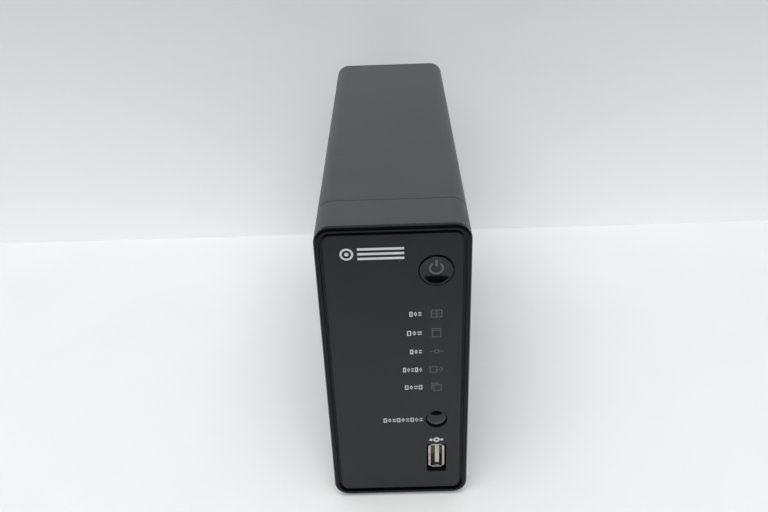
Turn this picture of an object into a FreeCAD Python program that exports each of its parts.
"""One-bay network attached storage box, standing on its rubber feet.

Millimetres. X is to the right as seen from the front, the front faces -Y and +Z is up.
The origin is on the table, under the middle of the case.
"""
import FreeCAD, Part
import math
import os
import re

import Sketcher
from FreeCAD import Placement, Rotation, Vector

SIZES = {
    # For every shape: how far joined shapes run into each other, and how far a cut runs past its part.
    "overlap": 0.5,
    "cut_margin": 1.0,
    # The case: an upright box with rounded long edges.
    "case_width": 60.0,
    "case_depth": 195.0,
    "case_height": 140.0,
    "case_wall": 2.0,
    "corner_radius": 6.5,
    "cap_depth": 23.0,
    "seam_gap": 0.3,
    "slide_gap": 0.35,
    # Rubber feet under the sleeve.
    "foot_height": 1.5,
    "foot_sunk": 0.8,
    "foot_radius": 4.5,
    "foot_side_inset": 11.0,
    "foot_end_inset": 16.0,
    # Air slots in the floor of the sleeve.
    "vent_width": 3.0,
    "vent_length": 26.0,
    "vent_pitch": 9.0,
    "vent_count": 9,
    "vent_round": 1.4,
    # The front: glossy rim, dark groove and matt panel.
    "rim_depth": 2.5,
    "rim_width": 2.1,
    "rim_round": 1.1,
    "rim_inner_round": 0.4,
    "edge_round": 0.35,
    "bore_round": 0.2,
    "groove_width": 1.1,
    "seat_depth": 1.6,
    "panel_recess": 0.5,
    "panel_step": 1.5,
    "panel_skin": 0.4,
    "web_thickness": 2.0,
    "window_gap": 0.15,
    "window_margin": 1.2,
    "window_low_rise": 9.5,
    "window_high_drop": 8.5,
    "window_round": 1.5,
    "lip_wall": 1.2,
    "lip_length": 3.0,
    "lip_root": 4.0,
    # The column of controls.
    "control_inset": 13.6,
    "power_drop": 19.7,
    "indicator_drop": 39.85,
    "indicator_pitch": 9.4,
    "indicator_count": 5,
    "copy_rise": 44.4,
    "front_usb_rise": 21.45,
    "front_usb_recess": 2.0,
    "power_radius": 6.6,
    "copy_radius": 4.4,
    "button_gap": 0.3,
    "button_travel": 0.8,
    "button_proud": 0.2,
    "copy_proud": 0.45,
    "touch_gap": 0.1,
    "flange_width": 1.2,
    "flange_thickness": 1.0,
    "stem_radius": 1.6,
    "dish_depth": 0.7,
    "dish_margin": 0.7,
    "dome_height": 1.2,
    "pipe_width": 5.0,
    "pipe_height": 3.4,
    "pipe_gap": 0.15,
    "pipe_end_gap": 0.05,
    "carrier_thickness": 1.2,
    "carrier_margin": 1.0,
    "led_width": 2.0,
    "led_height": 1.2,
    "led_thickness": 1.1,
    "led_gap": 0.3,
    # Circuit boards.
    "board_thickness": 1.6,
    "front_board_setback": 13.0,
    "front_board_reach": 8.75,
    "front_board_lead": 6.35,
    "front_board_margin": 3.5,
    "post_radius": 2.4,
    "post_spread": 6.0,
    "post_inset": 5.4,
    "switch_side": 6.0,
    "switch_thickness": 3.5,
    "plunger_radius": 1.75,
    "plunger_height": 1.3,
    "header_thickness": 5.0,
    "header_width": 12.0,
    "header_depth": 6.0,
    "front_header_rise": 60.0,
    "board_header_setback": 4.0,
    "ribbon_thickness": 1.2,
    "ribbon_margin": 1.0,
    # Screws: one kind for everything.
    "screw_radius": 1.4,
    "screw_length": 5.0,
    "head_radius": 2.6,
    "head_height": 1.4,
    "cross_width": 0.7,
    "cross_length": 3.0,
    "cross_depth": 0.8,
    "hole_gap": 0.1,
    # Steel tray and the 3.5-inch drive on it.
    "tray_sheet": 1.0,
    "tray_lead": 5.5,
    "tray_lip_gap": 1.0,
    "tray_fan_gap": 1.5,
    "tray_height": 107.0,
    "tray_corner_relief": 1.0,
    "tray_tab_length": 14.0,
    "tray_tab_height": 12.0,
    "tray_tab_low": 22.0,
    "tray_tab_pitch": 76.0,
    "tray_post_radius": 4.0,
    "tray_post_shift": 2.0,
    "tray_flange_height": 21.0,
    "flange_screw_rise": 16.0,
    "flange_left_inset": 3.0,
    "flange_right_inset": 5.0,
    "drive_side_gap": 6.0,
    "drive_thickness": 26.1,
    "drive_height": 101.6,
    "drive_length": 147.0,
    "drive_lift": 6.5,
    "drive_setback": 5.0,
    "drive_cover_thickness": 0.8,
    "drive_cover_margin": 1.0,
    "drive_rail": 7.0,
    "drive_recess": 2.6,
    "drive_board_thickness": 1.2,
    "drive_board_setback": 52.0,
    "drive_board_margin": 1.0,
    "disk_radius": 46.0,
    "disk_thickness": 1.3,
    "disk_pitch": 5.0,
    "disk_hub_radius": 12.5,
    "disk_front_margin": 4.5,
    "disk_cover_gap": 1.0,
    "disk_first": 3.0,
    "chamber_depth": 14.0,
    "chamber_gap": 1.5,
    "drive_hole_inset": 3.2,
    "drive_hole_end": 41.3,
    "drive_hole_pitch": 44.45,
    "plug_length": 42.0,
    "plug_depth": 8.0,
    "plug_width": 7.0,
    "plug_rise": 10.0,
    "plug_side_gap": 0.6,
    "plug_gap": 0.2,
    "cable_radius": 1.3,
    "cable_loop": 6.0,
    "cable_bend": 4.2,
    "drive_header_depth": 9.0,
    "drive_header_inset": 3.0,
    "fan_header_thickness": 4.0,
    "fan_header_width": 8.0,
    "fan_header_gap": 14.0,
    "fan_lead_radius": 0.9,
    "fan_lead_bend": 4.0,
    "fan_lead_run": 4.0,
    "fan_lead_rise": 4.0,
    "fan_lead_inset": 1.4,
    # Main board.
    "standoff_height": 7.3,
    "standoff_radius": 2.8,
    "main_board_low": 6.5,
    "main_board_top_gap": 5.5,
    "main_board_setback": 10.0,
    "main_board_rear_gap": 1.0,
    "standoff_front_inset": 8.0,
    "standoff_rear_inset": 33.0,
    "standoff_low_rise": 8.0,
    "standoff_high_rise": 96.0,
    "processor_side": 17.0,
    "processor_thickness": 1.4,
    "processor_setback": 75.0,
    "processor_rise": 62.0,
    "memory_width": 9.0,
    "memory_height": 12.5,
    "memory_thickness": 1.1,
    "memory_setback": 38.0,
    "memory_spread": 9.0,
    "sink_side": 30.0,
    "sink_base": 2.0,
    "sink_height": 10.0,
    "fin_thickness": 1.0,
    "fin_count": 9,
    "cell_radius": 10.0,
    "cell_thickness": 3.2,
    "cell_floor": 1.0,
    "cell_holder_wall": 1.0,
    "cell_holder_height": 3.0,
    "cell_setback": 30.0,
    "cell_drop": 16.0,
    "buzzer_radius": 4.5,
    "buzzer_height": 6.0,
    "buzzer_hole_radius": 1.0,
    "buzzer_hole_depth": 1.5,
    "buzzer_setback": 100.0,
    "buzzer_drop": 14.0,
    "capacitor_radius": 3.15,
    "capacitor_height": 8.0,
    "capacitor_gap": 2.0,
    "capacitor_setback": 46.0,
    "capacitor_drop": 4.0,
    # Rear panel, its sockets and its fan.
    "rear_recess": 3.0,
    "rear_thickness": 2.0,
    "port_gap": 0.25,
    "ear_width": 16.0,
    "ear_height": 8.5,
    "ear_thickness": 1.4,
    "ear_hole_rise": 4.7,
    "ear_gap": 0.1,
    "power_inlet_rise": 22.0,
    "rear_usb_rise": 40.0,
    "lan_rise": 60.0,
    "esata_rise": 80.0,
    "reset_rise": 95.0,
    "port_proud": 0.8,
    "insert_gap": 0.05,
    "contact_thickness": 0.2,
    "usb_shell_width": 5.7,
    "usb_shell_length": 13.1,
    "usb_shell_wall": 0.3,
    "usb_shell_round": 0.7,
    "usb_lip_width": 7.1,
    "usb_lip_length": 14.3,
    "usb_lip_thickness": 0.4,
    "usb_side_tab": 12.0,
    "usb_end_tab": 4.0,
    "usb_depth": 11.0,
    "usb_cutout_width": 8.6,
    "usb_cutout_length": 16.4,
    "usb_cutout_round": 0.8,
    "usb_contact_pitch": 2.3,
    "usb_contact_width": 1.0,
    "usb_contact_inset": 0.6,
    "usb_contact_end": 7.0,
    "tongue_thickness": 1.8,
    "tongue_length": 11.1,
    "tongue_shift": 0.35,
    "tongue_recess": 1.3,
    "tongue_block": 3.5,
    "lan_width": 16.0,
    "lan_height": 13.3,
    "lan_depth": 21.0,
    "lan_wall": 0.3,
    "lan_round": 0.6,
    "lan_mouth_shift": 1.2,
    "lan_mouth_width": 11.9,
    "lan_mouth_height": 7.0,
    "lan_latch_width": 6.2,
    "lan_latch_height": 2.4,
    "lan_mouth_depth": 14.0,
    "lan_contact_pitch": 1.02,
    "lan_contact_width": 0.5,
    "lan_contact_height": 0.45,
    "lan_contact_inset": 0.5,
    "lan_contact_setback": 3.0,
    "esata_width": 15.5,
    "esata_height": 5.8,
    "esata_depth": 14.0,
    "esata_tongue": 9.0,
    "esata_wall": 0.35,
    "esata_round": 0.8,
    "esata_block": 4.0,
    "esata_blade": 1.2,
    "esata_hook": 1.8,
    "esata_recess": 2.0,
    "inlet_width": 9.0,
    "inlet_height": 11.0,
    "inlet_depth": 14.0,
    "inlet_bore_radius": 3.1,
    "inlet_bore_depth": 10.0,
    "inlet_pin_radius": 1.0,
    "inlet_pin_recess": 1.0,
    "reset_radius": 1.1,
    "reset_travel": 0.4,
    "reset_recess": 0.6,
    "reset_length": 5.5,
    "reset_gap": 0.3,
    "reset_switch_side": 4.5,
    "lock_width": 3.2,
    "lock_length": 7.2,
    "lock_rise": 121.0,
    "lock_shift": 1.0,
    "lock_round": 1.0,
    "fan_size": 35.0,
    "fan_thickness": 10.0,
    "fan_bore_radius": 16.5,
    "fan_hole_pitch": 29.0,
    "fan_hole_depth": 4.0,
    "fan_side_gap": 1.0,
    "fan_drop": 29.5,
    "fan_hub_radius": 8.0,
    "fan_hub_wall": 1.2,
    "motor_base_inset": 0.5,
    "fan_post_radius": 2.2,
    "bearing_gap": 0.3,
    "post_end_gap": 2.5,
    "hub_tube_inset": 0.6,
    "fan_spin_gap": 0.4,
    "fan_tip_gap": 0.6,
    "rotor_rear_gap": 0.9,
    "blade_count": 7,
    "blade_chord": 8.0,
    "blade_thickness": 1.0,
    "blade_pitch": 35.0,
    "strut_width": 2.0,
    "strut_thickness": 1.5,
    "grille_hole_radius": 1.5,
    "grille_ring_pitch": 4.6,
    "grille_rings": 3,
}

PLACES = {
    # Case.
    "half_width": "case_width / 2",
    "front_y": "-case_depth / 2",
    "back_y": "case_depth / 2",
    "base_z": "foot_height",
    "top_z": "foot_height + case_height",
    "inner_half": "half_width - case_wall",
    "inner_low": "base_z + case_wall",
    "inner_high": "top_z - case_wall",
    "seam_y": "front_y + cap_depth",
    "sleeve_front": "seam_y + seam_gap / 2",
    "cap_back": "seam_y - seam_gap / 2",
    "lip_offset": "case_wall + slide_gap",
    "lip_end": "cap_back + lip_length",
    # Front.
    "rim_back": "front_y + rim_depth",
    "seat_y": "front_y + seat_depth",
    "panel_y": "front_y + panel_recess",
    "panel_offset": "rim_width + groove_width",
    "panel_back": "seat_y + panel_step",
    "web_back": "rim_back + web_thickness",
    "control_x": "half_width - control_inset",
    "power_z": "top_z - power_drop",
    "indicator_z": "top_z - indicator_drop",
    "copy_z": "base_z + copy_rise",
    "front_usb_z": "base_z + front_usb_rise",
    "front_usb_y": "front_y + front_usb_recess",
    "window_left": "control_x - power_radius - flange_width - window_margin",
    "window_right": "control_x + power_radius + flange_width + window_margin",
    "window_low": "base_z + window_low_rise",
    "window_high": "top_z - window_high_drop",
    "button_y": "panel_y - button_proud",
    "copy_y": "panel_y - copy_proud",
    "flange_y": "panel_back + button_proud",
    "front_board_y": "front_y + front_board_setback",
    "front_board_back": "front_board_y + board_thickness",
    "switch_y": "front_board_y - switch_thickness",
    "plunger_y": "switch_y - plunger_height",
    "stem_y": "plunger_y - button_travel - touch_gap",
    "led_y": "front_board_y - led_thickness",
    "post_left": "control_x - post_spread",
    "post_right": "control_x + post_spread",
    "post_low": "base_z + post_inset",
    "post_high": "top_z - post_inset",
    "front_header_z": "base_z + front_header_rise",
    # Rear.
    "rear_out": "back_y - rear_recess",
    "rear_in": "rear_out - rear_thickness",
    "ear_front": "rear_out + ear_gap",
    "ear_back": "ear_front + ear_thickness",
    "ear_low_z": "inner_low + ear_hole_rise",
    "ear_high_z": "inner_high - ear_hole_rise",
    "port_y": "rear_out + port_proud",
    # Tray and drive.
    "tray_front": "seam_y - tray_lead",
    "tray_back": "rear_in - fan_thickness - tray_fan_gap",
    "tray_low": "inner_low + slide_gap",
    "tray_high": "tray_low + tray_height",
    "drive_left": "drive_side_gap - inner_half",
    "tray_face": "drive_left + drive_thickness",
    "tray_out": "tray_face + tray_sheet",
    "tray_post_x": "tray_out - tray_tab_length / 2 - tray_post_shift",
    "tray_post_low": "tray_low + tray_tab_low",
    "tray_post_high": "tray_post_low + tray_tab_pitch",
    "drive_front": "tray_front + drive_setback",
    "drive_back": "drive_front + drive_length",
    "drive_low": "base_z + drive_lift",
    "drive_high": "drive_low + drive_height",
    "drive_hole_rear": "drive_back - drive_hole_end",
    "drive_hole_front": "drive_hole_rear - drive_hole_pitch",
    "drive_hole_low": "drive_low + drive_hole_inset",
    "drive_hole_high": "drive_high - drive_hole_inset",
    "disk_y": "drive_front + disk_radius + disk_front_margin",
    "disk_z": "(drive_low + drive_high) / 2",
    "plug_low": "drive_low + plug_rise",
    "plug_high": "plug_low + plug_length",
    "plug_x": "tray_face - plug_side_gap - plug_width / 2",
    "plug_back": "drive_back + plug_depth",
    "flange_screw_z": "tray_low + flange_screw_rise",
    "flange_left": "drive_left + flange_left_inset",
    "flange_right": "tray_face - flange_right_inset",
    # Main board.
    "board_x": "tray_out + standoff_height",
    "board_face": "board_x + board_thickness",
    "board_front": "tray_front + main_board_setback",
    "board_back": "rear_in - main_board_rear_gap",
    "board_low": "base_z + main_board_low",
    "board_high": "top_z - main_board_top_gap",
    "standoff_front": "board_front + standoff_front_inset",
    "standoff_rear": "board_back - standoff_rear_inset",
    "standoff_low": "board_low + standoff_low_rise",
    "standoff_high": "board_low + standoff_high_rise",
    "board_header_y": "board_front + board_header_setback",
    "processor_y": "board_front + processor_setback",
    "processor_z": "board_low + processor_rise",
    # Sockets.
    "power_inlet_z": "base_z + power_inlet_rise",
    "rear_usb_z": "base_z + rear_usb_rise",
    "lan_z": "base_z + lan_rise",
    "esata_z": "base_z + esata_rise",
    "reset_z": "base_z + reset_rise",
    "lock_z": "base_z + lock_rise",
    "rear_usb_x": "board_face + usb_shell_width / 2",
    "lan_x": "board_face + lan_height / 2",
    "esata_x": "board_face + esata_height / 2",
    "power_inlet_x": "board_face + inlet_height / 2",
    "lock_x": "esata_x + lock_shift",
    "reset_back": "rear_out - reset_recess",
    "cell_y": "board_front + cell_setback",
    "cell_z": "board_high - cell_drop",
    "buzzer_y": "board_front + buzzer_setback",
    "buzzer_z": "board_high - buzzer_drop",
    "reset_x": "board_face + reset_switch_side / 2",
    # Fan.
    "fan_x": "fan_side_gap + fan_size / 2 - inner_half",
    "fan_z": "top_z - fan_drop",
    "fan_front": "rear_in - fan_thickness",
    "rotor_front": "fan_front + strut_thickness + fan_spin_gap",
    "rotor_back": "rear_in - rotor_rear_gap",
    "rotor_middle": "(rotor_front + rotor_back) / 2",
}

doc = FreeCAD.newDocument("storage_box")
OWNER = {}
NODES = []


def fill_sheet(label, rows):
    """Make a spreadsheet with a name and a value or a formula in each row."""
    sheet = doc.addObject("Spreadsheet::Sheet", label)
    for row, (name, content) in enumerate(rows.items(), start=1):
        sheet.set(f"A{row}", name)
        sheet.set(f"B{row}", "=" + full(content) if isinstance(content, str) else str(content))
        sheet.setAlias(f"B{row}", name)
        OWNER[name] = label
    doc.recompute()
    return sheet


def full(formula):
    """Put the sheet's name before each name in a formula."""
    return re.sub(r"[a-z][a-z_]+", lambda word: qualified(word.group()), formula)


def qualified(word):
    return f"{OWNER[word]}.{word}" if word in OWNER else word


def value(formula):
    """The number that a formula has now."""
    return float(places.evalExpression(full(formula)))


def count(name):
    return int(value(name))


def bind(thing, field, formula):
    thing.setExpression(field, full(formula))


def node(thing, label):
    """Name a finished sub-part."""
    thing.Label = label
    NODES.append(thing)
    return thing


def minus(formula):
    return f"0 - ({formula})"


# Sketched bodies ---------------------------------------------------------------------------

def new_body(name):
    return doc.addObject("PartDesign::Body", name)


def origin_plane(body, role):
    return next(item for item in body.Origin.OriginFeatures if item.Role == role)


def new_sketch(body, role, offset):
    sketch = body.newObject("Sketcher::SketchObject", "Sketch")
    sketch.AttachmentSupport = [(origin_plane(body, role), "")]
    sketch.MapMode = "FlatFace"
    bind(sketch, "AttachmentOffset.Base.z", offset)
    return sketch


def pin(sketch, constraint, formula):
    """Add a constraint and tie it to a formula."""
    number = sketch.addConstraint(constraint)
    bind(sketch, f"Constraints[{number}]", formula)


def draw_box(sketch, left, right, low, high):
    """A sharp rectangle between two pairs of coordinates."""
    corners = [(left, low), (right, low), (right, high), (left, high)]
    points = [Vector(value(across), value(up), 0) for across, up in corners]
    first = sketch.GeometryCount
    sketch.addGeometry([Part.LineSegment(points[i], points[(i + 1) % 4]) for i in range(4)], False)
    rules = [Sketcher.Constraint("Coincident", first + i, 2, first + (i + 1) % 4, 1) for i in range(4)]
    rules += [Sketcher.Constraint("Horizontal", first), Sketcher.Constraint("Horizontal", first + 2)]
    rules += [Sketcher.Constraint("Vertical", first + 1), Sketcher.Constraint("Vertical", first + 3)]
    sketch.addConstraint(rules)
    pin(sketch, Sketcher.Constraint("DistanceX", -1, 1, first, 1, points[0].x), left)
    pin(sketch, Sketcher.Constraint("DistanceX", -1, 1, first + 1, 1, points[1].x), right)
    pin(sketch, Sketcher.Constraint("DistanceY", -1, 1, first, 1, points[0].y), low)
    pin(sketch, Sketcher.Constraint("DistanceY", -1, 1, first + 2, 1, points[2].y), high)


def draw_rounded(sketch, left, right, low, high, radius):
    """A rectangle with four equal round corners."""
    west, east, south, north = value(left), value(right), value(low), value(high)
    bend = value(radius)
    quarter = math.pi / 2
    centres = [(west + bend, south + bend), (east - bend, south + bend),
               (east - bend, north - bend), (west + bend, north - bend)]
    turns = [2, 3, 4, 5]
    arcs = []
    for (across, up), turn in zip(centres, turns):
        circle = Part.Circle(Vector(across, up, 0), Vector(0, 0, 1), bend)
        arcs.append(Part.ArcOfCircle(circle, turn * quarter, (turn + 1) * quarter))
    ends = [((west + bend, south), (east - bend, south)), ((east, south + bend), (east, north - bend)),
            ((east - bend, north), (west + bend, north)), ((west, north - bend), (west, south + bend))]
    lines = [Part.LineSegment(Vector(*start, 0), Vector(*end, 0)) for start, end in ends]
    first = sketch.GeometryCount
    sketch.addGeometry(arcs + lines, False)
    rules = []
    for side in range(4):
        rules.append(Sketcher.Constraint("Tangent", first + side, 2, first + 4 + side, 1))
        rules.append(Sketcher.Constraint("Tangent", first + 4 + side, 2, first + (side + 1) % 4, 1))
        rules.append(Sketcher.Constraint("Vertical" if side % 2 else "Horizontal", first + 4 + side))
    rules += [Sketcher.Constraint("Equal", first, first + side) for side in (1, 2, 3)]
    sketch.addConstraint(rules)
    pin(sketch, Sketcher.Constraint("Radius", first, bend), radius)
    pin(sketch, Sketcher.Constraint("DistanceX", -1, 1, first + 7, 1, west), left)
    pin(sketch, Sketcher.Constraint("DistanceX", -1, 1, first + 5, 1, east), right)
    pin(sketch, Sketcher.Constraint("DistanceY", -1, 1, first + 4, 1, south), low)
    pin(sketch, Sketcher.Constraint("DistanceY", -1, 1, first + 6, 1, north), high)


def draw_circle(sketch, across, up, radius):
    first = sketch.GeometryCount
    centre = Vector(value(across), value(up), 0)
    sketch.addGeometry(Part.Circle(centre, Vector(0, 0, 1), value(radius)), False)
    pin(sketch, Sketcher.Constraint("Radius", first, value(radius)), radius)
    pin(sketch, Sketcher.Constraint("DistanceX", -1, 1, first, 3, centre.x), across)
    pin(sketch, Sketcher.Constraint("DistanceY", -1, 1, first, 3, centre.y), up)


DRAW = {3: draw_circle, 4: draw_box, 5: draw_rounded}


def draw(sketch, loops):
    """Draw each loop: three values make a circle, four a sharp and five a rounded rectangle."""
    for loop in loops:
        DRAW[len(loop)](sketch, *loop)


def pad(body, start, end, loops):
    """Add material between two Y planes."""
    sketch = new_sketch(body, "XZ_Plane", minus(start))
    draw(sketch, loops)
    feature = body.newObject("PartDesign::Pad", "Pad")
    feature.Profile = sketch
    feature.Reversed = True
    bind(feature, "Length", f"({end}) - ({start})")
    return feature


def pocket(body, start, end, loops):
    """Cut material away between two Y planes."""
    before = volume(body)
    sketch = new_sketch(body, "XZ_Plane", minus(start))
    draw(sketch, loops)
    feature = body.newObject("PartDesign::Pocket", "Pocket")
    feature.Profile = sketch
    feature.Reversed = False
    bind(feature, "Length", f"({end}) - ({start})")
    if volume(body) >= before - 0.001:
        raise ValueError(f"a pocket in {body.Name} cuts nothing")
    return feature


def volume(thing):
    doc.recompute()
    return thing.Shape.Volume


def round_edges(body, radius, chosen):
    """Fillet the edges of the body's last feature that pass a test."""
    doc.recompute()
    last = body.Tip
    names = [f"Edge{i}" for i, edge in enumerate(last.Shape.Edges, start=1) if chosen(edge.BoundBox)]
    feature = body.newObject("PartDesign::Fillet", "Fillet")
    feature.Base = (last, names)
    bind(feature, "Radius", radius)


def in_plane(along):
    """A test for edges that lie in one Y plane."""
    place = value(along)
    return lambda edge: abs(edge.YMin - place) < 0.01 and edge.YLength < 0.01


def soften(body, radius, along, inset):
    """Round the edges that one of the case's outlines leaves in a Y plane."""
    flat = in_plane(along)
    side = value(f"half_width - ({inset})")
    low = value(f"base_z + ({inset})")
    high = value(f"top_z - ({inset})")

    def on_outline(edge):
        outermost = max(abs(edge.XMin), abs(edge.XMax))
        touches = abs(outermost - side) < 0.01 or abs(edge.ZMin - low) < 0.01 or abs(edge.ZMax - high) < 0.01
        return flat(edge) and touches

    round_edges(body, radius, on_outline)


def case_outline(inset):
    """The case's rounded outline seen from the front, moved inwards."""
    side = f"half_width - ({inset})"
    return (minus(side), side, f"base_z + ({inset})", f"top_z - ({inset})", f"corner_radius - ({inset})")


def around(across, up, width, height):
    """The four sides of a rectangle, from its centre and size."""
    return (f"{across} - ({width}) / 2", f"{across} + ({width}) / 2",
            f"{up} - ({height}) / 2", f"{up} + ({height}) / 2")


def grown(loop, gap):
    """A rectangle with the same gap added all round."""
    signs = ("-", "+", "-", "+")
    return tuple(f"{side} {sign} ({gap})" for side, sign in zip(loop[:4], signs)) + tuple(loop[4:])


# Plain solids and booleans -----------------------------------------------------------------

def box(name, across, along, up):
    """A block between two planes along each of X, Y and Z."""
    solid = doc.addObject("Part::Box", name)
    for field, letter, (low, high) in zip(("Length", "Width", "Height"), "xyz", (across, along, up)):
        bind(solid, field, f"({high}) - ({low})")
        bind(solid, f"Placement.Base.{letter}", low)
    return solid


TURNS = {"x": Rotation(Vector(0, 1, 0), 90), "y": Rotation(Vector(1, 0, 0), -90), "z": Rotation()}


def rod(name, axis, radius, start, end, first, second):
    """A cylinder along one axis; first and second place it on the other two, in X, Y, Z order."""
    solid = doc.addObject("Part::Cylinder", name)
    solid.Placement.Rotation = TURNS[axis]
    bind(solid, "Radius", radius)
    bind(solid, "Height", f"({end}) - ({start})")
    others = [letter for letter in "xyz" if letter != axis]
    for letter, formula in ((axis, start), (others[0], first), (others[1], second)):
        bind(solid, f"Placement.Base.{letter}", formula)
    return solid


def cut(base, *tools):
    for tool in tools:
        before = volume(base)
        result = doc.addObject("Part::Cut", "Cut")
        result.Base = base
        result.Tool = tool
        base = result
        if volume(base) >= before - 0.001:
            raise ValueError(f"{tool.Name} cuts nothing")
    return base


def fuse(*parts):
    result = doc.addObject("Part::MultiFuse", "Fusion")
    result.Shapes = list(parts)
    return result


def group(label, parts):
    """Several separate solids as one sub-part."""
    result = doc.addObject("Part::Compound", label)
    result.Links = list(parts)
    return node(result, label)


def copy_of(thing, name, rotation, x, y, z):
    """The same solid again, somewhere else."""
    link = doc.addObject("App::Link", name)
    link.setLink(thing)
    link.Placement.Rotation = rotation
    for letter, formula in (("x", x), ("y", y), ("z", z)):
        bind(link, f"Placement.Base.{letter}", formula)
    return link


def pipe(label, points, bends, radius):
    """A round lead along straight runs joined by tangent arcs."""
    edges = []
    start = points[0]
    for corner, following, bend in zip(points[1:-1], points[2:], bends):
        inward = (corner - start).normalize()
        outward = (following - corner).normalize()
        half = inward.getAngle(outward) / 2
        reach = bend * math.tan(half)
        enter = corner - inward * reach
        leave = corner + outward * reach
        centre = enter + (outward - inward * inward.dot(outward)).normalize() * bend
        middle = centre + (corner - centre).normalize() * bend
        edges.append(Part.LineSegment(start, enter).toShape())
        edges.append(Part.Arc(enter, middle, leave).toShape())
        start = leave
    edges.append(Part.LineSegment(start, points[-1]).toShape())
    path = Part.Wire(edges)
    ring = Part.Wire(Part.makeCircle(radius, points[0], points[1] - points[0]))
    lead = path.makePipeShell([ring], True, False)
    feature = doc.addObject("Part::Feature", label)
    feature.Shape = lead if lead.ShapeType == "Solid" else lead.Solids[0]
    expected = math.pi * radius ** 2 * path.Length
    print(f"{label}: bend radii {bends}, volume {feature.Shape.Volume:.2f} of {expected:.2f}")
    return node(feature, label)


def point(x, y, z):
    return Vector(value(x), value(y), value(z))


# Screws ------------------------------------------------------------------------------------

def make_screw():
    """A pan-head cross-recess screw: its head sits on the plane Z = 0, its shank points down."""
    head = doc.addObject("Part::Cylinder", "ScrewHead")
    bind(head, "Radius", "head_radius")
    bind(head, "Height", "head_height")
    shank = doc.addObject("Part::Cylinder", "ScrewShank")
    bind(shank, "Radius", "screw_radius")
    bind(shank, "Height", "screw_length + overlap")
    bind(shank, "Placement.Base.z", minus("screw_length"))
    whole = fuse(head, shank)
    depth = ("head_height - cross_depth", "head_height + cut_margin")
    long_side = (minus("cross_length / 2"), "cross_length / 2")
    short_side = (minus("cross_width / 2"), "cross_width / 2")
    return cut(whole, box("CrossAlong", long_side, short_side, depth),
               box("CrossAcross", short_side, long_side, depth))


FACING = {"+x": Rotation(Vector(0, 1, 0), 90), "+y": Rotation(Vector(1, 0, 0), -90),
          "-y": Rotation(Vector(1, 0, 0), 90)}


def screws(label, facing, spots):
    """One screw at each spot; its head looks the given way and sits on the spot."""
    copies = [copy_of(screw, f"{label}_{i}", FACING[facing], *spot) for i, spot in enumerate(spots)]
    return group(label, copies)


def drill(base, axis, start, end, spots, gap="hole_gap"):
    """Screw holes; each spot gives the two coordinates across the axis."""
    for first, second in spots:
        base = cut(base, rod("Drill", axis, f"screw_radius + {gap}", start, end, first, second))
    return base


def pairs(firsts, seconds):
    return [(first, second) for first in firsts for second in seconds]


# Where screws go: each list is used for the holes and for the screws.
FRONT_POSTS = pairs(("post_left", "post_right"), ("post_low", "post_high"))
TRAY_POSTS = pairs(("tray_post_x",), ("tray_post_low", "tray_post_high"))
DRIVE_HOLES = pairs(("drive_hole_front", "drive_hole_rear"), ("drive_hole_low", "drive_hole_high"))
STANDOFFS = pairs(("standoff_front", "standoff_rear"), ("standoff_low", "standoff_high"))
EAR_HOLES = pairs(("0 * case_wall",), ("ear_low_z", "ear_high_z"))
FLANGE_HOLES = pairs(("flange_left", "flange_right"), ("flange_screw_z",))
FAN_HOLES = pairs(("fan_x - fan_hole_pitch / 2", "fan_x + fan_hole_pitch / 2"),
                  ("fan_z - fan_hole_pitch / 2", "fan_z + fan_hole_pitch / 2"))


def circles(spots, radius):
    return [(first, second, radius) for first, second in spots]


# Case --------------------------------------------------------------------------------------

def make_outer_sleeve():
    """The long moulded sleeve, open at both ends, with air slots and two rear screw ears."""
    sleeve = new_body("outer_sleeve")
    pad(sleeve, "sleeve_front", "back_y", [case_outline("0")])
    pocket(sleeve, "sleeve_front", "back_y", [case_outline("case_wall")])
    low_ear = around("0", "inner_low + ear_height / 2 - overlap", "ear_width", "ear_height + 2 * overlap")
    high_ear = around("0", "inner_high - ear_height / 2 + overlap", "ear_width", "ear_height + 2 * overlap")
    pad(sleeve, "ear_front", "ear_back", [low_ear, high_ear])
    pocket(sleeve, "ear_front", "ear_back", circles(EAR_HOLES, "screw_radius + hole_gap"))
    sketch = new_sketch(sleeve, "XY_Plane", "base_z - cut_margin")
    for middle in vent_places():
        slot = around("0", middle, "vent_length", "vent_width")
        draw_rounded(sketch, *slot, "vent_round")
    before = volume(sleeve)
    vents = sleeve.newObject("PartDesign::Pocket", "Vents")
    vents.Profile = sketch
    vents.Reversed = True
    bind(vents, "Length", "case_wall + 2 * cut_margin")
    if volume(sleeve) >= before:
        raise ValueError("the air slots cut nothing")
    sockets = new_sketch(sleeve, "XY_Plane", "base_z")
    for across, along in foot_spots():
        draw_circle(sockets, across, along, "foot_radius + hole_gap")
    seats = sleeve.newObject("PartDesign::Pocket", "FootSeats")
    seats.Profile = sockets
    seats.Reversed = True
    bind(seats, "Length", "foot_sunk")
    for end in ("sleeve_front", "back_y"):
        soften(sleeve, "edge_round", end, "0")
    node(sleeve, "outer_sleeve")


def vent_places():
    """Where each air slot lies along Y; the slots are centred on the case."""
    slots = count("vent_count")
    return [f"{number - (slots - 1) / 2} * vent_pitch" for number in range(slots)]


def foot_spots():
    side = "half_width - foot_side_inset"
    return pairs((minus(side), side), ("sleeve_front + foot_end_inset", "back_y - foot_end_inset"))


def make_rubber_feet():
    """Round rubber pads glued into shallow seats."""
    feet = []
    for across, along in foot_spots():
        feet.append(rod("Foot", "z", "foot_radius", "0", "base_z + foot_sunk", across, along))
    group("rubber_feet", feet)


def make_case_screws():
    """The two screws that hold the chassis in the sleeve."""
    screws("case_screws", "+y", [(across, "ear_back", up) for across, up in EAR_HOLES])


# Front -------------------------------------------------------------------------------------

WINDOW = ("window_left", "window_right", "window_low", "window_high")


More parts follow.
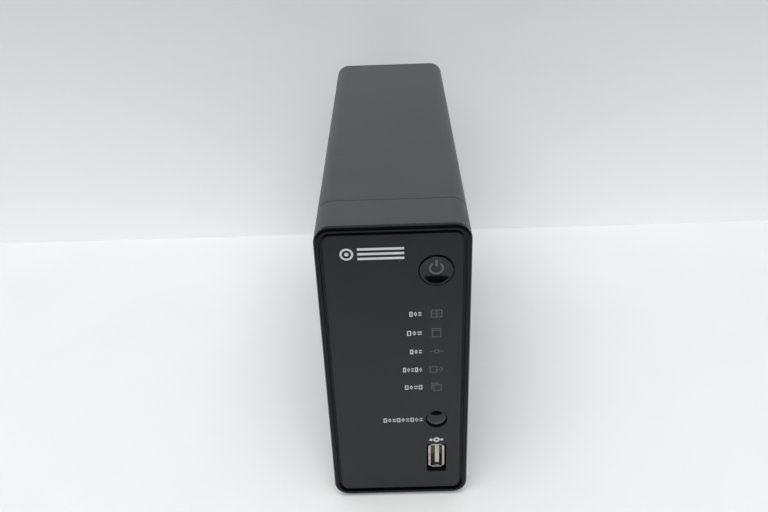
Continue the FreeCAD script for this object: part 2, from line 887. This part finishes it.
def make_front_cap():
    """The front end of the case: a short moulded cup that plugs into the sleeve."""
    cap = new_body("front_cap")
    pad(cap, "rim_back", "cap_back", [case_outline("0")])
    pad(cap, "cap_back", "lip_end", [case_outline("lip_offset")])
    pocket(cap, "web_back", "cap_back - lip_root", [case_outline("case_wall")])
    pocket(cap, "cap_back - lip_root", "lip_end", [case_outline("lip_offset + lip_wall")])
    pocket(cap, "rim_back", "web_back", [(*WINDOW, "window_round")])
    pad(cap, "web_back - overlap", "front_board_y", circles(FRONT_POSTS, "post_radius"))
    pad(cap, "web_back - overlap", "tray_front", circles(TRAY_POSTS, "tray_post_radius"))
    pocket(cap, "front_board_y - screw_length", "front_board_y",
           circles(FRONT_POSTS, "screw_radius + hole_gap"))
    pocket(cap, "tray_front - screw_length", "tray_front",
           circles(TRAY_POSTS, "screw_radius + hole_gap"))
    soften(cap, "edge_round", "cap_back", "0")
    node(cap, "front_cap")


def make_front_rim():
    """The glossy frame round the front, with the seat for the panel."""
    rim = new_body("front_rim")
    pad(rim, "front_y", "rim_back", [case_outline("0")])
    pocket(rim, "front_y", "seat_y", [case_outline("rim_width")])
    pocket(rim, "seat_y", "rim_back", [(*WINDOW, "window_round")])
    soften(rim, "rim_round", "front_y", "0")
    soften(rim, "rim_inner_round", "front_y", "rim_width")
    node(rim, "front_rim")


def indicator_places():
    return [f"indicator_z - {number} * indicator_pitch" for number in range(count("indicator_count"))]


def make_front_panel():
    """The matt panel: bores for both buttons, a slot for the socket and thin spots for the lights."""
    panel = new_body("front_panel")
    pad(panel, "panel_y", "seat_y", [case_outline("panel_offset")])
    pad(panel, "seat_y - overlap", "panel_back",
        [grown((*WINDOW, "window_round - window_gap"), minus("window_gap"))])
    pocket(panel, "panel_y", "panel_back", [
        ("control_x", "power_z", "power_radius + button_gap"),
        ("control_x", "copy_z", "copy_radius + button_gap"),
    ])
    cutout = around("control_x", "front_usb_z", "usb_cutout_width", "usb_cutout_length")
    pocket(panel, "panel_y", "panel_back", [(*cutout, "usb_cutout_round")])
    windows = [around("control_x", up, "pipe_width + 2 * pipe_gap", "pipe_height + 2 * pipe_gap")
               for up in indicator_places()]
    pocket(panel, "panel_y + panel_skin", "panel_back", windows)
    soften(panel, "edge_round", "panel_y", "panel_offset")
    front = in_plane("panel_y")
    left, right = value("window_left"), value("window_right")
    round_edges(panel, "bore_round", lambda edge: front(edge) and edge.XMin > left and edge.XMax < right)
    node(panel, "front_panel")


def make_light_pipes():
    """Clear bars that carry the light of each diode to the panel, on one carrier strip."""
    pipes = new_body("light_pipes")
    bars = [around("control_x", up, "pipe_width", "pipe_height") for up in indicator_places()]
    last = indicator_places()[-1]
    carrier = ("control_x - pipe_width / 2 - carrier_margin", "control_x + pipe_width / 2 + carrier_margin",
               f"{last} - pipe_height", "indicator_z + pipe_height")
    pad(pipes, "panel_back", "panel_back + carrier_thickness", [carrier])
    pad(pipes, "panel_y + panel_skin + pipe_end_gap", "led_y - led_gap", bars)
    node(pipes, "light_pipes")


def make_button(label, centre_z, radius, front, domed):
    """A round push button: cap, flange behind the panel and stem towards its switch."""
    cap = rod("ButtonCap", "y", radius, front, "flange_y + overlap", "control_x", centre_z)
    flange = rod("ButtonFlange", "y", f"{radius} + flange_width", "flange_y",
                 "flange_y + flange_thickness", "control_x", centre_z)
    stem = rod("ButtonStem", "y", "stem_radius", "flange_y + overlap", "stem_y", "control_x", centre_z)
    whole = fuse(cap, flange, stem)
    ball = doc.addObject("Part::Sphere", "ButtonFace")
    rise = "dome_height" if domed else "dish_depth"
    edge = radius if domed else f"({radius} - dish_margin)"
    ball_radius = f"({edge} ^ 2 + {rise} ^ 2) / (2 * {rise})"
    bind(ball, "Radius", ball_radius)
    bind(ball, "Placement.Base.x", "control_x")
    bind(ball, "Placement.Base.z", centre_z)
    if domed:
        bind(ball, "Placement.Base.y", f"{front} + {ball_radius}")
        limit = rod("DomeLimit", "y", f"{radius} + cut_margin", f"{front} - cut_margin",
                    f"{front} + dome_height", "control_x", centre_z)
        node(cut(whole, cut(limit, ball)), label)
    else:
        bind(ball, "Placement.Base.y", f"{front} + dish_depth - {ball_radius}")
        node(cut(whole, ball), label)


def make_front_board():
    """The narrow strip board behind the controls."""
    strip = box("FrontStrip", ("board_face - front_board_lead", "control_x + front_board_reach"),
                ("front_board_y", "front_board_back"),
                ("base_z + front_board_margin", "top_z - front_board_margin"))
    strip = drill(strip, "y", "front_board_y - cut_margin", "front_board_back + cut_margin", FRONT_POSTS)
    node(strip, "front_board")
    screws("front_board_screws", "+y", [(across, "front_board_back", up) for across, up in FRONT_POSTS])


def make_front_parts():
    """Light diodes, push switches and the ribbon header of the strip board."""
    half_wide, half_tall = "led_width / 2", "led_height / 2"
    diodes = []
    for up in indicator_places():
        diodes.append(box("Diode", (f"control_x - {half_wide}", f"control_x + {half_wide}"),
                          ("led_y", "front_board_y"), (f"{up} - {half_tall}", f"{up} + {half_tall}")))
    group("indicator_leds", diodes)
    for label, up in (("power_switch", "power_z"), ("copy_switch", "copy_z")):
        sides = around("control_x", up, "switch_side", "switch_side")
        case = box("SwitchCase", sides[:2], ("switch_y", "front_board_y"), sides[2:])
        plunger = rod("SwitchPlunger", "y", "plunger_radius", "plunger_y", "switch_y + overlap",
                      "control_x", up)
        node(fuse(case, plunger), label)
    across = ("board_face", "board_face + header_thickness")
    up = ("front_header_z - header_width / 2", "front_header_z + header_width / 2")
    node(box("FrontHeader", across, ("front_board_back", "front_board_back + header_depth / 2"), up),
         "front_header")
    node(box("BoardHeader", across, ("board_header_y", "board_header_y + header_depth"), up),
         "board_header")
    sides = around("board_face + header_thickness / 2", "front_header_z",
                   "ribbon_thickness", "header_width - 2 * ribbon_margin")
    node(box("FrontRibbon", sides[:2], ("front_board_back + header_depth / 2", "board_header_y"), sides[2:]),
         "front_ribbon")


# Sockets -----------------------------------------------------------------------------------

def ring(loop, wall, radius):
    """An outline and the same outline moved inwards by the wall."""
    return [(*loop, radius), (*grown(loop, minus(wall)), f"{radius} - {wall}")]


def ring_tabs(inner, outer, across, up):
    """The four flared tabs round a socket's mouth, from the shell's wall outwards."""
    side = (f"{up} - usb_side_tab / 2", f"{up} + usb_side_tab / 2")
    end = (f"{across} - usb_end_tab / 2", f"{across} + usb_end_tab / 2")
    root = "usb_shell_wall"
    return [
        (outer[0], f"{inner[0]} + {root}", *side),
        (f"{inner[1]} - {root}", outer[1], *side),
        (*end, outer[2], f"{inner[2]} + {root}"),
        (*end, f"{inner[3]} - {root}", outer[3]),
    ]


def make_usb_socket(prefix, across, up, mouth, direction):
    """A host socket for memory sticks: nickel shell with flared lips, tongue and four contacts.

    The direction is 1 where the mouth looks to -Y and -1 where it looks to +Y.
    """
    def span(near, far):
        first = f"{mouth} + {direction} * ({near})"
        second = f"{mouth} + {direction} * ({far})"
        return (first, second) if direction > 0 else (second, first)

    shell_loop = around(across, up, "usb_shell_width", "usb_shell_length")
    lip_loop = around(across, up, "usb_lip_width", "usb_lip_length")
    shell = new_body(f"{prefix}_shell")
    pad(shell, *span("0", "usb_depth"), ring(shell_loop, "usb_shell_wall", "usb_shell_round"))
    tabs = ring_tabs(shell_loop, lip_loop, across, up)
    for tab in tabs:
        pad(shell, *span("0", "usb_lip_thickness"), [tab])
    node(shell, f"{prefix}_shell")

    tongue = new_body(f"{prefix}_tongue")
    pad(tongue, *span("usb_depth - tongue_block", "usb_depth"),
        [(*grown(shell_loop, minus("usb_shell_wall + insert_gap")), "usb_shell_round - usb_shell_wall")])
    blade = around(f"{across} + tongue_shift", up, "tongue_thickness", "tongue_length")
    pad(tongue, *span("tongue_recess", "usb_depth - tongue_block + overlap"), [blade])
    node(tongue, f"{prefix}_tongue")

    strips = []
    face = f"{across} + tongue_shift - tongue_thickness / 2"
    for number in range(4):
        middle = f"{up} + {number - 1.5} * usb_contact_pitch"
        strips.append(box("Contact", (f"{face} - contact_thickness", face),
                          span("tongue_recess + usb_contact_inset", "usb_contact_end"),
                          (f"{middle} - usb_contact_width / 2", f"{middle} + usb_contact_width / 2")))
    group(f"{prefix}_contacts", strips)


def make_lan_socket():
    """The network socket: metal shield, plastic insert with its keyed mouth and eight contacts."""
    outline = around("lan_x", "lan_z", "lan_height", "lan_width")
    depth = ("port_y - lan_depth", "port_y")
    shield = new_body("lan_shield")
    pad(shield, *depth, ring(outline, "lan_wall", "lan_round"))
    node(shield, "lan_shield")
    insert = new_body("lan_insert")
    pad(insert, *depth, [(*grown(outline, minus("lan_wall + insert_gap")), "lan_round - lan_wall")])
    mouth = around("lan_x + lan_mouth_shift", "lan_z", "lan_mouth_height", "lan_mouth_width")
    latch = ("lan_x + lan_mouth_shift - lan_mouth_height / 2 - lan_latch_height", "lan_x",
             "lan_z - lan_latch_width / 2", "lan_z + lan_latch_width / 2")
    pocket(insert, "port_y - lan_mouth_depth", "port_y", [mouth])
    pocket(insert, "port_y - lan_mouth_depth", "port_y", [latch])
    node(insert, "lan_insert")
    wires = []
    for number in range(8):
        middle = f"lan_z + {number - 3.5} * lan_contact_pitch"
        top = "lan_x + lan_mouth_shift + lan_mouth_height / 2 - insert_gap"
        wires.append(box("LanWire", (f"{top} - lan_contact_height", top),
                         ("port_y - lan_mouth_depth + lan_contact_inset", "port_y - lan_contact_setback"),
                         (f"{middle} - lan_contact_width / 2", f"{middle} + lan_contact_width / 2")))
    group("lan_contacts", wires)


def make_esata_socket():
    """The socket for an outside disk: nickel shell and an L-shaped tongue."""
    outline = around("esata_x", "esata_z", "esata_height", "esata_width")
    depth = ("port_y - esata_depth", "port_y")
    shell = new_body("esata_shell")
    pad(shell, *depth, ring(outline, "esata_wall", "esata_round"))
    node(shell, "esata_shell")
    insert = new_body("esata_insert")
    pad(insert, "port_y - esata_depth", "port_y - esata_depth + esata_block",
        [(*grown(outline, minus("esata_wall + insert_gap")), "esata_round - esata_wall")])
    blade = around("esata_x", "esata_z", "esata_blade", "esata_tongue")
    hook = ("esata_x - esata_blade / 2", "esata_x + esata_hook",
            "esata_z + esata_tongue / 2 - esata_blade", "esata_z + esata_tongue / 2")
    for loop in (blade, hook):
        pad(insert, "port_y - esata_depth + esata_block - overlap", "port_y - esata_recess", [loop])
    node(insert, "esata_insert")


def make_power_inlet():
    """The round inlet for the power adapter and its centre pin."""
    inlet = new_body("power_inlet")
    outline = around("power_inlet_x", "power_inlet_z", "inlet_height", "inlet_width")
    pad(inlet, "port_y - inlet_depth", "port_y", [outline])
    pocket(inlet, "port_y - inlet_bore_depth", "port_y",
           [("power_inlet_x", "power_inlet_z", "inlet_bore_radius")])
    node(inlet, "power_inlet")
    node(rod("InletPin", "y", "inlet_pin_radius", "port_y - inlet_bore_depth", "port_y - inlet_pin_recess",
             "power_inlet_x", "power_inlet_z"), "power_inlet_pin")


def make_reset():
    """The recessed reset button and the small switch on the board that it works."""
    sides = around("reset_x", "reset_z", "reset_switch_side", "reset_switch_side")
    switch_face = "reset_back - reset_length"
    node(box("ResetCase", sides[:2], (f"{switch_face} - reset_switch_side", switch_face), sides[2:]),
         "reset_switch")
    node(rod("ResetCap", "y", "reset_radius", f"{switch_face} + reset_travel + touch_gap", "reset_back",
             "reset_x", "reset_z"), "reset_button")


# Tray and drive ----------------------------------------------------------------------------

def make_drive_tray():
    """The folded steel sheet that carries everything: base, upright wall, front tabs and rear flange."""
    left = "corner_radius - case_wall - tray_corner_relief - inner_half"
    wall = box("TrayWall", ("tray_face", "tray_out"), ("tray_front", "tray_back"), ("tray_low", "tray_high"))
    base = box("TrayBase", (left, "tray_out"), ("lip_end + tray_lip_gap", "rear_in"),
               ("tray_low", "tray_low + tray_sheet"))
    flange = box("TrayFlange", (left, "tray_out"), ("rear_in - tray_sheet", "rear_in"),
                 ("tray_low", "tray_low + tray_flange_height"))
    tabs = []
    for up in ("tray_post_low", "tray_post_high"):
        tabs.append(box("TrayTab", ("tray_out - tray_tab_length", "tray_out"),
                        ("tray_front", "tray_front + tray_sheet"),
                        (f"{up} - tray_tab_height / 2", f"{up} + tray_tab_height / 2")))
    sheet = fuse(wall, base, flange, *tabs)
    sheet = cut(sheet, box("LipNotch", ("tray_face - cut_margin", "tray_out + cut_margin"),
                           ("tray_front - cut_margin", "lip_end + tray_lip_gap"),
                           ("tray_low - cut_margin", "base_z + lip_offset + lip_wall + slide_gap")))
    for middle in vent_places():
        sheet = cut(sheet, box("TrayVent", ("0 - vent_length / 2", "tray_face - 2 * tray_sheet"),
                               (f"{middle} - vent_width / 2", f"{middle} + vent_width / 2"),
                               ("tray_low - cut_margin", "tray_low + tray_sheet + cut_margin")))
    flange_span = ("rear_in - tray_sheet - cut_margin", "rear_in + cut_margin")
    tab_span = ("tray_front - cut_margin", "tray_front + tray_sheet + cut_margin")
    sheet = drill(sheet, "y", *flange_span, EAR_HOLES[:1], "slide_gap")
    sheet = drill(sheet, "x", "tray_face - cut_margin", "tray_out + cut_margin", DRIVE_HOLES + STANDOFFS)
    sheet = drill(sheet, "y", *tab_span, TRAY_POSTS)
    node(drill(sheet, "y", *flange_span, FLANGE_HOLES), "drive_tray")
    screws("tray_screws", "+y", [(across, "tray_front + tray_sheet", up) for across, up in TRAY_POSTS])
    screws("drive_screws", "+x", [("tray_out", along, up) for along, up in DRIVE_HOLES])


def make_drive():
    """A 3.5-inch disk drive on its side: cast body, steel cover, circuit board and connector."""
    inner = "drive_left + drive_cover_thickness"
    rails = ("drive_low + drive_rail", "drive_high - drive_rail")
    board_face = "tray_face - drive_recess"
    body = box("DriveBody", (inner, "tray_face"), ("drive_front", "drive_back"), ("drive_low", "drive_high"))
    recess = box("DriveRecess", (board_face, "tray_face + cut_margin"),
                 ("drive_front + drive_board_setback", "drive_back + cut_margin"), rails)
    notch = box("DriveNotch", ("plug_x - plug_width / 2", "tray_face + cut_margin"),
                ("drive_back - plug_depth", "drive_back + cut_margin"),
                ("plug_low - plug_gap", "plug_high + plug_gap"))
    chamber = rod("DriveChamber", "x", "disk_radius + chamber_gap", f"{inner} - cut_margin",
                  f"{inner} + chamber_depth", "disk_y", "disk_z")
    body = cut(body, recess, notch, chamber)
    node(drill(body, "x", "tray_face - screw_length", "tray_face + cut_margin", DRIVE_HOLES), "drive_casting")
    node(box("DriveCover", ("drive_left", inner),
             ("drive_front + drive_cover_margin", "drive_back - drive_cover_margin"),
             ("drive_low + drive_cover_margin", "drive_high - drive_cover_margin")), "drive_cover")
    node(box("DriveBoardPlate", (board_face, f"{board_face} + drive_board_thickness"),
             ("drive_front + drive_board_setback + drive_board_margin",
              "drive_back - plug_depth - drive_board_margin / 2"),
             (f"{rails[0]} + drive_board_margin", f"{rails[1]} - drive_board_margin")), "drive_board")
    wide = ("plug_x - plug_width / 2", "plug_x + plug_width / 2")
    node(box("DriveSocket", wide, ("drive_back - plug_depth", "drive_back"),
             ("plug_low", "plug_high")), "drive_connector")
    node(box("DrivePlug", wide, ("drive_back", "plug_back"), ("plug_low", "plug_high")), "drive_plug")


def make_drive_disks():
    """The two recording disks on their hub, free to turn in the chamber under the cover."""
    start = "drive_left + drive_cover_thickness + disk_cover_gap"
    pieces = [rod("DiskHub", "x", "disk_hub_radius", start, f"{start} + chamber_depth - chamber_gap",
                  "disk_y", "disk_z")]
    for number in range(2):
        near = f"{start} + disk_first + {number} * disk_pitch"
        pieces.append(rod("Disk", "x", "disk_radius", near, f"{near} + disk_thickness", "disk_y", "disk_z"))
    node(fuse(*pieces), "drive_disks")


def make_leads():
    """The drive's lead and the fan's lead, each to its header on the back of the main board."""
    middle = "(plug_low + plug_high) / 2"
    header_back = "plug_back - drive_header_inset"
    node(box("DriveHeader", ("board_x - header_thickness", "board_x"),
             (f"{header_back} - drive_header_depth", header_back),
             (f"{middle} - header_width / 2", f"{middle} + header_width / 2")), "drive_header")
    header_x = "board_x - header_thickness / 2"
    route = [point("plug_x", "plug_back", middle), point("plug_x", "plug_back + cable_loop", middle),
             point(header_x, "plug_back + cable_loop", middle), point(header_x, header_back, middle)]
    bend = value("cable_bend")
    pipe("drive_lead", route, [bend, bend], value("cable_radius"))

    up = "fan_z - fan_size / 2 + fan_lead_rise"
    header_back = "fan_front - fan_header_gap"
    node(box("FanHeader", ("board_x - fan_header_thickness", "board_x"),
             (f"{header_back} - header_depth", header_back),
             (f"{up} - fan_header_width / 2", f"{up} + fan_header_width / 2")), "fan_header")
    start_x = "fan_x + fan_size / 2 - fan_lead_inset"
    end_x = "board_x - fan_header_thickness / 2"
    route = [point(start_x, "fan_front", up), point(start_x, "fan_front - fan_lead_run", up),
             point(end_x, f"{header_back} + fan_lead_run", up), point(end_x, header_back, up)]
    bend = value("fan_lead_bend")
    pipe("fan_lead", route, [bend, bend], value("fan_lead_radius"))


# Main board --------------------------------------------------------------------------------

def make_main_board():
    """The main circuit board on four standoffs."""
    plate = box("MainPlate", ("board_x", "board_face"), ("board_front", "board_back"),
                ("board_low", "board_high"))
    node(drill(plate, "x", "board_x - cut_margin", "board_face + cut_margin", STANDOFFS), "main_board")
    pillars = []
    for along, up in STANDOFFS:
        pillar = rod("Pillar", "x", "standoff_radius", "tray_out", "board_x", along, up)
        pillars.append(drill(pillar, "x", "board_x - screw_length", "board_x + cut_margin", [(along, up)]))
    group("board_standoffs", pillars)
    screws("main_board_screws", "+x", [("board_face", along, up) for along, up in STANDOFFS])


def make_board_parts():
    """Processor with its heat sink, memory, capacitors, clock cell and buzzer."""
    sides = around("processor_y", "processor_z", "processor_side", "processor_side")
    chip_top = "board_face + processor_thickness"
    node(box("Chip", ("board_face", chip_top), sides[:2], sides[2:]), "processor")

    sink_sides = around("processor_y", "processor_z", "sink_side", "sink_side")
    pieces = [box("SinkBase", (chip_top, f"{chip_top} + sink_base"), sink_sides[:2], sink_sides[2:])]
    fins = count("fin_count")
    for number in range(fins):
        low = f"{sink_sides[2]} + {number} * (sink_side - fin_thickness) / {fins - 1}"
        pieces.append(box("Fin", (f"{chip_top} + sink_base / 2", f"{chip_top} + sink_height"),
                          sink_sides[:2], (low, f"{low} + fin_thickness")))
    node(fuse(*pieces), "heat_sink")

    chips = []
    for side in (-1, 1):
        spot = around("board_front + memory_setback", f"processor_z + {side} * memory_spread",
                      "memory_width", "memory_height")
        chips.append(box("MemoryChip", ("board_face", "board_face + memory_thickness"), spot[:2], spot[2:]))
    group("memory_chips", chips)

    cans = []
    for number in range(4):
        up = f"power_inlet_z - capacitor_drop + {number} * (2 * capacitor_radius + capacitor_gap)"
        cans.append(rod("Can", "x", "capacitor_radius", "board_face", "board_face + capacitor_height",
                        "board_back - capacitor_setback", up))
    group("capacitors", cans)

    floor = "board_face + cell_floor"
    holder = rod("CellHolder", "x", "cell_radius + cell_holder_wall", "board_face",
                 "board_face + cell_holder_height", "cell_y", "cell_z")
    well = rod("CellWell", "x", "cell_radius + hole_gap", floor,
               "board_face + cell_holder_height + cut_margin", "cell_y", "cell_z")
    node(cut(holder, well), "cell_holder")
    node(rod("Cell", "x", "cell_radius", floor, f"{floor} + cell_thickness", "cell_y", "cell_z"), "coin_cell")

    top = "board_face + buzzer_height"
    drum = rod("BuzzerDrum", "x", "buzzer_radius", "board_face", top, "buzzer_y", "buzzer_z")
    hole = rod("BuzzerHole", "x", "buzzer_hole_radius", f"{top} - buzzer_hole_depth", f"{top} + cut_margin",
               "buzzer_y", "buzzer_z")
    node(cut(drum, hole), "buzzer")


# Rear --------------------------------------------------------------------------------------

def make_rear_panel():
    """The rear wall: air grille, a close hole for each socket, the reset hole and the lock slot."""
    panel = new_body("rear_panel")
    pad(panel, "rear_in", "rear_out", [case_outline("case_wall + slide_gap")])
    air = [("fan_x", "fan_z", "grille_hole_radius")]
    for number in range(1, count("grille_rings") + 1):
        holes = 6 * number
        for step in range(holes):
            angle = 2 * math.pi * step / holes
            reach = f"{number} * grille_ring_pitch"
            air.append((f"fan_x + {reach} * {math.cos(angle):.5f}",
                        f"fan_z + {reach} * {math.sin(angle):.5f}", "grille_hole_radius"))
    pocket(panel, "rear_in", "rear_out", air)
    ports = [
        around("power_inlet_x", "power_inlet_z", "inlet_height", "inlet_width"),
        around("rear_usb_x", "rear_usb_z", "usb_shell_width", "usb_shell_length"),
        around("lan_x", "lan_z", "lan_height", "lan_width"),
        around("esata_x", "esata_z", "esata_height", "esata_width"),
    ]
    pocket(panel, "rear_in", "rear_out", [grown(port, "port_gap") for port in ports])
    lock = (*around("lock_x", "lock_z", "lock_width", "lock_length"), "lock_round")
    pocket(panel, "rear_in", "rear_out", [("reset_x", "reset_z", "reset_radius + reset_gap"), lock])
    pocket(panel, "rear_in", "rear_out", circles(FLANGE_HOLES + FAN_HOLES, "screw_radius + hole_gap"))
    pocket(panel, "rear_in", "rear_out", circles(EAR_HOLES, "screw_radius + slide_gap"))
    node(panel, "rear_panel")
    screws("rear_panel_screws", "+y", [(across, "rear_out", up) for across, up in FLANGE_HOLES])
    screws("fan_screws", "+y", [(across, "rear_out", up) for across, up in FAN_HOLES])


def make_fan_frame():
    """The fan's square frame, with struts, motor base and bearing post."""
    sides = around("fan_x", "fan_z", "fan_size", "fan_size")
    frame = box("FanBlock", sides[:2], ("fan_front", "rear_in"), sides[2:])
    bore = rod("FanBore", "y", "fan_bore_radius", "fan_front - cut_margin", "rear_in + cut_margin",
               "fan_x", "fan_z")
    frame = drill(cut(frame, bore), "y", "rear_in - fan_hole_depth", "rear_in + cut_margin", FAN_HOLES)
    along = ("fan_front", "fan_front + strut_thickness")
    reach = "2 * (fan_bore_radius + overlap)"
    flat = around("fan_x", "fan_z", reach, "strut_width")
    upright = around("fan_x", "fan_z", "strut_width", reach)
    base = rod("MotorBase", "y", "fan_hub_radius - motor_base_inset", *along, "fan_x", "fan_z")
    post = rod("BearingPost", "y", "fan_post_radius", "fan_front + overlap", "rotor_back - post_end_gap",
               "fan_x", "fan_z")
    node(fuse(frame, box("StrutFlat", flat[:2], along, flat[2:]),
              box("StrutUpright", upright[:2], along, upright[2:]), base, post), "fan_frame")


def make_fan_rotor():
    """The fan's wheel: a cup that runs over the bearing post, with pitched blades."""
    span = ("rotor_front", "rotor_back")
    cup = rod("HubOuter", "y", "fan_hub_radius", *span, "fan_x", "fan_z")
    hollow = rod("HubHollow", "y", "fan_hub_radius - fan_hub_wall", "rotor_front - cut_margin",
                 "rotor_back - fan_hub_wall", "fan_x", "fan_z")
    tube = rod("HubTube", "y", "fan_post_radius + bearing_gap + fan_hub_wall",
               "rotor_front + hub_tube_inset", "rotor_back - overlap", "fan_x", "fan_z")
    bore = rod("HubBore", "y", "fan_post_radius + bearing_gap", "rotor_front - cut_margin",
               "rotor_back - fan_hub_wall", "fan_x", "fan_z")
    hub = cut(fuse(cut(cup, hollow), tube), bore)
    blade = doc.addObject("Part::Box", "Blade")
    bind(blade, "Length", "fan_bore_radius - fan_hub_radius + 2 * overlap")
    bind(blade, "Width", "blade_chord")
    bind(blade, "Height", "blade_thickness")
    pitch = Rotation(Vector(1, 0, 0), value("blade_pitch"))
    middle = Vector(0, value("blade_chord") / 2, value("blade_thickness") / 2)
    blade.Placement = Placement(Vector(value("fan_hub_radius - fan_hub_wall / 2"), 0, 0)
                                - pitch.multVec(middle), pitch)
    blades = []
    total = count("blade_count")
    for number in range(total):
        turn = Rotation(Vector(0, 1, 0), 360 * number / total)
        blades.append(copy_of(blade, f"Blade_{number}", turn, "fan_x", "rotor_middle", "fan_z"))
    for link in blades:
        link.LinkTransform = True
    tip = rod("BladeLimit", "y", "fan_bore_radius - fan_tip_gap", *span, "fan_x", "fan_z")
    swept = doc.addObject("Part::Common", "TrimmedBlades")
    swept.Base = fuse(*blades)
    swept.Tool = tip
    node(fuse(hub, swept), "fan_rotor")


# Build -------------------------------------------------------------------------------------

sizes = fill_sheet("Sizes", SIZES)
places = fill_sheet("Places", PLACES)
screw = make_screw()

make_outer_sleeve()
make_rubber_feet()
make_case_screws()
make_front_cap()
make_front_rim()
make_front_panel()
make_light_pipes()
make_button("power_button", "power_z", "power_radius", "button_y", domed=False)
make_button("copy_button", "copy_z", "copy_radius", "copy_y", domed=True)
make_front_board()
make_front_parts()
make_usb_socket("front_usb", "control_x", "front_usb_z", "front_usb_y", 1)
make_drive_tray()
make_drive()
make_drive_disks()
make_main_board()
make_board_parts()
make_leads()
make_usb_socket("rear_usb", "rear_usb_x", "rear_usb_z", "port_y", -1)
make_lan_socket()
make_esata_socket()
make_power_inlet()
make_reset()
make_rear_panel()
make_fan_frame()
make_fan_rotor()
doc.recompute()

for thing in doc.Objects:
    if {"Invalid", "Error"} & set(thing.State):
        raise ValueError(f"{thing.Name} ({thing.Label}) did not build: {thing.State}")
for thing in NODES:
    if thing.Shape.isNull() or not thing.Shape.isValid():
        raise ValueError(f"{thing.Label} has no valid shape")

os.makedirs("parts", exist_ok=True)
for thing in NODES:
    thing.Shape.exportStep(f"parts/{thing.Label}.step")
print(f"{len(NODES)} sub-parts written")
